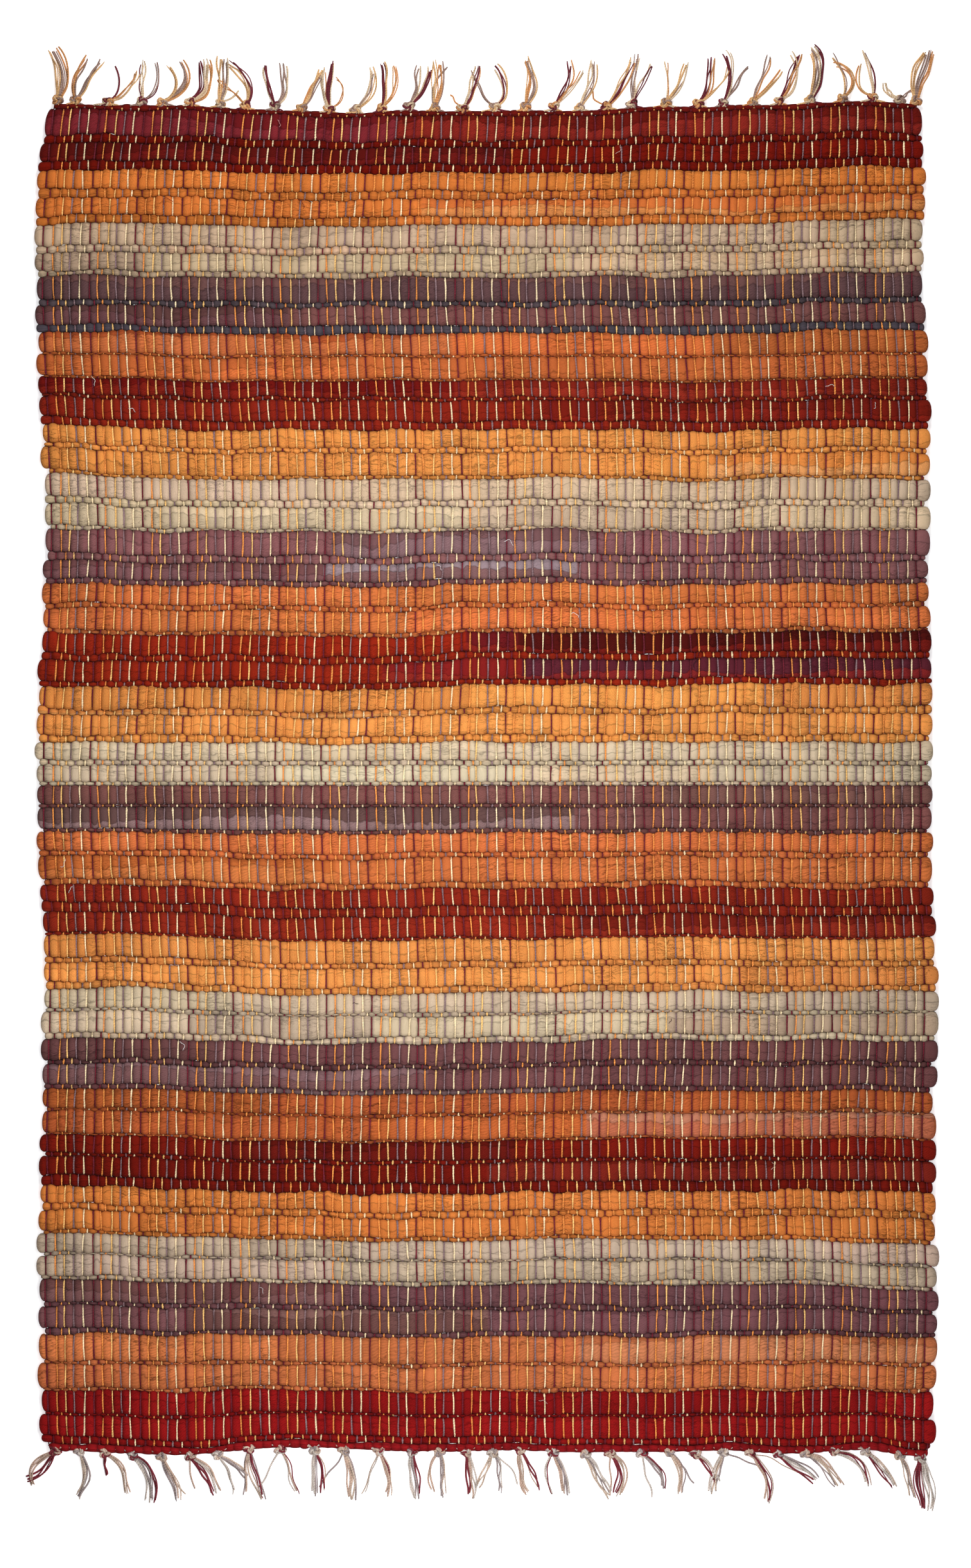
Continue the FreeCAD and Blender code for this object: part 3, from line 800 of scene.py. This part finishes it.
def lying_threads(start, lean, curl, length, dyes, chance):
    """Loose ends that lie together from the knot out over the floor, a little apart half-way."""
    t = np.linspace(0, 1, 14)
    way = (math.radians(lean) + math.radians(curl) * t ** 0.85
           + 0.13 * np.sin(chance.uniform(4, 8) * t + chance.uniform(0, 6)))
    ahead = np.stack([np.sin(way), np.cos(way)], -1)
    right = np.stack([np.cos(way), -np.sin(way)], -1)
    path = np.array(start[:2]) + np.concatenate(
        [[[0, 0]], np.cumsum((ahead[:-1] + ahead[1:]) / 2 * length / (len(t) - 1), 0)])
    rest = THREAD_RADIUS + FLOOR_GAP
    belly, splay = chance.uniform(0.0, 0.6), chance.uniform(0.0, 0.35)
    runs = []
    for place, dye in enumerate(dyes):
        away = place - (len(dyes) - 1) / 2
        off = away * (0.46 + 0.34 * ease(t, 0, 0.25) + belly * np.sin(np.pi * t ** 1.2)
                      + splay * t ** 3)
        off = off + (0.75 * np.sin(chance.uniform(3, 10) * t + chance.uniform(0, 6))
                     * ease(t, 0.05, 0.6))
        own = np.minimum(np.arange(len(t)), (len(t) - 1) * chance.uniform(SHORTEST, 1.0))
        spot = path + off[:, None] * right
        spot = np.stack([np.interp(own, np.arange(len(t)), spot[:, axis]) for axis in (0, 1)], -1)
        layer = (place % 2) * 0.95 + 0.25 * chance.uniform(0, 1)
        z = rest + layer * ease(t, 0.0, 0.3) + (start[2] - rest) * (1 - ease(t, 0.0, 0.35))
        z = z + chance.uniform(0, 1.0) * np.sin(np.pi * t) ** 2
        last = int(own[-1]) + 1
        thick = THREAD_RADIUS * chance.choice([0.72, 1.0, 1.15], p=[0.3, 0.4, 0.3])
        radius = thick * (1 - 0.3 * ease(t, 0.85, 1.0))
        runs.append(tube(np.column_stack([spot, z])[:last + 1], radius[:last + 1], YARN_SIDES,
                         dye))
    return runs


# How each bunch lies, from the left: one or more groups of threads that keep together, each with
# their number, the way they leave the knot and how far they turn after it (in degrees from
# straight out, to the right for a plus), and their length.
FAR_BUNCHES = [
    [(8, 14, -42, 37)], [(4, -12, 50, 32), (4, 36, -6, 33)], [(4, 84, -84, 30), (1, 50, -85, 28)],
    [(3, 8, -14, 27), (3, 62, -84, 30), (1, -8, 16, 26)], [(4, 80, -112, 36), (2, 58, -104, 30)],
    [(8, 58, -84, 32)], [(6, 6, -8, 31), (1, 62, -20, 14)], [(5, 28, -98, 35), (2, -48, -6, 26)],
    [(4, 48, -80, 31), (3, -20, 16, 28)], [(4, 38, -22, 30), (2, 22, 6, 27)],
    [(4, 4, 2, 33), (3, -16, 22, 28), (2, 66, -118, 27)], [(4, 52, -68, 32), (2, 36, -26, 27)],
    [(4, 22, -46, 31), (3, 46, -64, 31)], [(3, 24, -24, 28), (3, 54, -54, 30)],
    [(7, 4, -3, 32), (1, -24, 78, 31)], [(5, 42, -46, 30), (1, -40, -12, 12)],
    [(2, -58, 52, 29), (4, 60, -112, 31)], [(4, 34, -66, 35), (3, 10, -22, 33)],
    [(4, 38, -38, 33), (3, 52, -26, 32)], [(5, 26, -20, 33)], [(5, 54, -48, 35), (1, -64, 50, 16)],
    [(4, 10, -6, 33), (3, 28, -6, 31)], [(4, 38, -22, 31), (2, 12, -18, 30)],
    [(5, 42, -52, 33), (2, 70, -60, 33)], [(4, 38, -74, 36), (2, 34, 2, 31)],
    [(3, 22, -6, 33), (3, 50, -20, 31)], [(5, 34, -18, 34), (2, 72, -112, 38)],
    [(8, 32, -62, 37)], [(3, 54, -136, 33), (2, 26, -78, 33)], [(3, 8, -34, 33), (2, -68, 104, 27)],
    [(3, -72, 60, 14), (2, 40, 10, 11)], [(8, 6, 20, 36)],
]
NEAR_BUNCHES = [
    [(4, -78, 92, 30), (4, -20, -52, 30)], [(4, 28, -66, 33), (1, 22, -38, 34)],
    [(2, 6, -10, 15), (4, 64, -64, 31)], [(8, 56, -64, 34)], [(5, 26, -12, 31), (1, 28, 14, 29)],
    [(6, 42, -18, 32), (1, -4, 26, 25)], [(2, 32, -24, 29), (3, 64, -24, 26)],
    [(5, 10, 6, 36), (2, -14, 14, 31)], [(1, -22, -20, 29), (3, 28, -18, 33)],
    [(4, 4, -6, 30), (3, 26, -30, 29)], [(5, 14, -12, 35), (1, -26, -18, 33)],
    [(4, 26, -34, 31), (2, -10, -22, 32)], [(6, -2, 12, 31)], [(4, 16, -22, 30), (2, -42, 62, 29)],
    [(6, 22, -34, 30)], [(3, -26, 2, 27), (3, 32, -44, 27), (1, 46, -20, 28)],
    [(4, -12, 44, 29), (3, 38, -30, 29)], [(5, 30, -28, 30), (2, -28, 54, 29)],
    [(6, 28, 4, 33)], [(6, 42, -66, 31), (1, 2, -6, 28)], [(4, 52, -44, 29), (1, 14, -6, 30)],
    [(5, 38, -48, 30), (1, 32, 10, 28)], [(4, 44, -24, 25)], [(5, -20, 12, 29), (1, 66, 0, 29)],
    [(5, 52, -64, 36), (1, 86, -34, 37)], [(6, 64, -18, 31)], [(6, 64, -40, 33)],
    [(5, 78, -66, 34)], [(6, 58, -34, 29)], [(4, 28, -18, 29)], [(10, 12, -10, 36)],
]


def tassel_runs(place, half, pairs, bunch):
    """One bunch: its ends as they come off the weaving, their knot and the loose threads."""
    way = 1 if half == "far" else -1
    chance = np.random.default_rng(7000 + place * 2 + (way > 0))
    # A lone pair at the selvedge has the next pairs' broken ends tied in with it.
    seen = pairs if len(pairs) > 1 else range(pairs[0] + 1, pairs[0] + 4)
    dyes = [FRINGE_DYES[half][WARP_COLOURS[pair % len(WARP_COLOURS)]] for pair in seen]
    knot = np.array([PAIR_X[list(pairs)].mean() + chance.normal(0, 0.9),
                     KNOT_OUT + chance.normal(0, 0.5), KNOT_HEIGHT])
    runs = []
    for pair, dye in zip(pairs, dyes):
        for which in (-1, 1):
            x = ends_at(way * HALF_LENGTH, which)[pair]
            reach = np.array([[x, -0.9, 3.2], [x + (knot[0] - x) * 0.30, 0.4, 4.3],
                              [x + (knot[0] - x) * 0.70, 1.2, 4.4], [knot[0], knot[1] - 1.0, 3.6]])
            runs.append(tube(reach, TAUT_RADIUS, YARN_SIDES, dye))
    size = KNOT_SIZE * chance.uniform(0.86, 1.08)
    runs += overhand_knot(knot, size, dyes, chance)
    total = sum(group[0] for group in bunch)
    order = chance.permutation(len(dyes))
    done = 0
    for count, lean, curl, length in bunch:
        its_dyes = [dyes[order[int((done + thread) * len(dyes) / total)]] for thread in range(count)]
        begin = knot + [2.2 * math.sin(math.radians(lean)), 1.4, chance.uniform(-0.5, 0.7)]
        runs += lying_threads(begin, lean, curl, length, its_dyes, chance)
        done += count
    # Laid out from the end of the rug, then turned to this end and settled with it.
    for run in runs:
        rings = run["rings"]
        if way < 0:
            rings = rings[:, ::-1, :]
        moved = np.stack([rings[..., 0], way * (HALF_LENGTH + rings[..., 1]),
                          np.clip(rings[..., 2], FLOOR_GAP, HIGHEST - 0.05)], -1)
        run["rings"] = settled(moved)
    return runs


fringe_yarn = yarn_cotton("mixed fringe yarn")
for half, bunches in (("far", FAR_BUNCHES), ("near", NEAR_BUNCHES)):
    runs = []
    first = 0
    for place, (bunch, count) in enumerate(zip(bunches, BUNCH_PAIRS[half])):
        runs += tassel_runs(place, half, range(first, first + count), bunch)
        first += count
    fringe = rolled_mesh(f"fringe_{half}", runs)
    fringe.data.materials.append(fringe_yarn)
    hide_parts(f"tassels_{half}")
    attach(fringe, half + "_half")


# ----------------------------------------
# Lint
# Frayed threads of the cut strips and bits of fluff. Nothing fixes them: they have worked loose in
# use and lie curled on the face.
# ----------------------------------------

LINT_RADIUS, LINT_HEIGHT, LINT_ARCH = 0.20, 6.75, 0.35
# Each one's stripe, pick, how far across it starts, length, the way it runs in degrees, how far it
# curls, and its colour.
STRAYS = [
    (2, 0, -232, 17, 20, 250, "#7c2018"), (2, 2, -214, 12, 110, -190, "#86281c"),
    (2, 2, -120, 9, 60, 140, "#7c2018"), (6, 0, -262, 8, 75, 60, "#efe6de"),
    (6, 2, -240, 6, 10, -80, "#e8dcd6"), (6, 0, 236, 7, 150, 70, "#efe6de"),
    (6, 2, 262, 5, 40, 90, "#e6d8d2"), (9, 0, 12, 9, 30, -120, "#e9dfe0"),
    (9, 2, -30, 6, 100, 60, "#ded2d4"), (10, 2, 62, 7, 80, 150, "#efe8e0"),
    (15, 2, -285, 8, 15, 100, "#efe6de"), (16, 0, -280, 6, 95, -80, "#e8dcd6"),
    (19, 0, -205, 8, 60, 110, "#e9dfe0"), (13, 2, -62, 6, 120, 60, "#7c2026"),
    (18, 2, 120, 4, 30, 60, "#3c2a26"), (18, 0, -88, 4, 140, 60, "#3c2a26"),
    (11, 0, 98, 12, 80, 70, "#2c0a0a"), (11, 2, 140, 14, 95, -60, "#3a1420"),
    (21, 2, 190, 7, 20, 130, "#c9a08e"), (24, 0, -150, 6, 70, 90, "#d8cccb"),
    (26, 0, 40, 7, 130, 70, "#d9a9a2"), (1, 0, -140, 6, 60, 110, "#c98f8a"),
    (1, 2, 90, 8, 20, 90, "#d8b0a6"), (4, 2, 210, 6, 110, 80, "#d0c0c0"),
]
lint = {"far": [], "near": []}
for stripe, place, x, length, way, curl, dye in STRAYS:
    pick = next(pick for pick in picks if (pick["stripe"], pick["place"]) == (stripe, place))
    t = np.linspace(0, 1, 16)
    turn = np.radians(way) + np.radians(curl) * t + 0.5 * np.sin(9 * t + x)
    steps = np.stack([np.cos(turn), np.sin(turn)], -1) * length / (len(t) - 1)
    path = np.array([x, pick["middle"]]) + np.concatenate([[[0, 0]], np.cumsum(steps[:-1], 0)])
    height = LINT_HEIGHT + LINT_ARCH * np.sin(np.pi * t)
    run = tube(np.column_stack([path, height]), LINT_RADIUS, YARN_SIDES, dye)
    run["rings"] = settled(run["rings"])
    lint["far" if pick["middle"] > FOLD_Y else "near"].append(run)
for half, runs in lint.items():
    piece = rolled_mesh(f"lint_{half}", runs)
    piece.data.materials.append(fringe_yarn)
    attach(piece, half + "_half")
    lint[half] = piece


# ----------------------------------------
# The cloth
# One woven cotton cloth that lies loose on the floor.
# ----------------------------------------


# ----------------------------------------
# Floor, lights and camera
# A plain white floor that glows a little, a long soft lamp over the rug and a lamp beyond each end,
# and a camera straight above with a long lens.
# ----------------------------------------

FLOOR_DROP = 0.0003             # keeps the floor out of the undersides of the picks
bpy.ops.mesh.primitive_plane_add(size=14, location=(0, 0, -FLOOR_DROP))
floor = bpy.context.active_object
floor.name = "floor"
white = bpy.data.materials.new("white floor")
white.use_nodes = True
shader = white.node_tree.nodes["Principled BSDF"]
shader.inputs["Base Color"].default_value = (0.93, 0.93, 0.935, 1)
shader.inputs["Roughness"].default_value = 0.9
shader.inputs["Specular IOR Level"].default_value = 0.1
shader.inputs["Emission Color"].default_value = (0.98, 0.985, 1.0, 1)
shader.inputs["Emission Strength"].default_value = 0.68
floor.data.materials.append(white)
floor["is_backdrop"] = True


def soft_light(name, place, aim, size, watts):
    """A rectangular lamp at a place, turned to what it lights."""
    light = bpy.data.lights.new(name, "AREA")
    light.shape = "RECTANGLE"
    light.size, light.size_y = size
    light.energy = watts
    lamp = bpy.data.objects.new(name, light)
    lamp.location = place
    lamp.rotation_euler = (Vector(aim) - Vector(place)).to_track_quat("-Z", "Y").to_euler()
    lamp.visible_camera = False
    bpy.context.scene.collection.objects.link(lamp)


soft_light("overhead", (-0.030, -0.05, 0.50), (-0.030, -0.05, 0), (0.15, 0.90), 3.10)
soft_light("far_key", (0.06, 1.05, 0.70), (0, 0.15, 0), (0.35, 0.35), 6.2)
soft_light("near_key", (0.20, -0.98, 0.62), (0.06, -0.36, 0), (0.35, 0.35), 3.2)

world = bpy.data.worlds.new("soft room")
bpy.context.scene.world = world
world.use_nodes = True
world.node_tree.nodes["Background"].inputs[0].default_value = (1.0, 1.0, 1.0, 1)
world.node_tree.nodes["Background"].inputs[1].default_value = 0.08

CAMERA_HEIGHT = 2.93
camera_data = bpy.data.cameras.new("camera")
camera_data.lens = 100
camera_data.sensor_fit = "VERTICAL"
camera_data.sensor_height = 36
camera = bpy.data.objects.new("camera", camera_data)
camera.location = (-0.0009, -0.0043, CAMERA_HEIGHT)
bpy.context.scene.collection.objects.link(camera)
bpy.context.scene.camera = camera
bpy.context.scene.view_settings.view_transform = "Standard"

low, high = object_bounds()
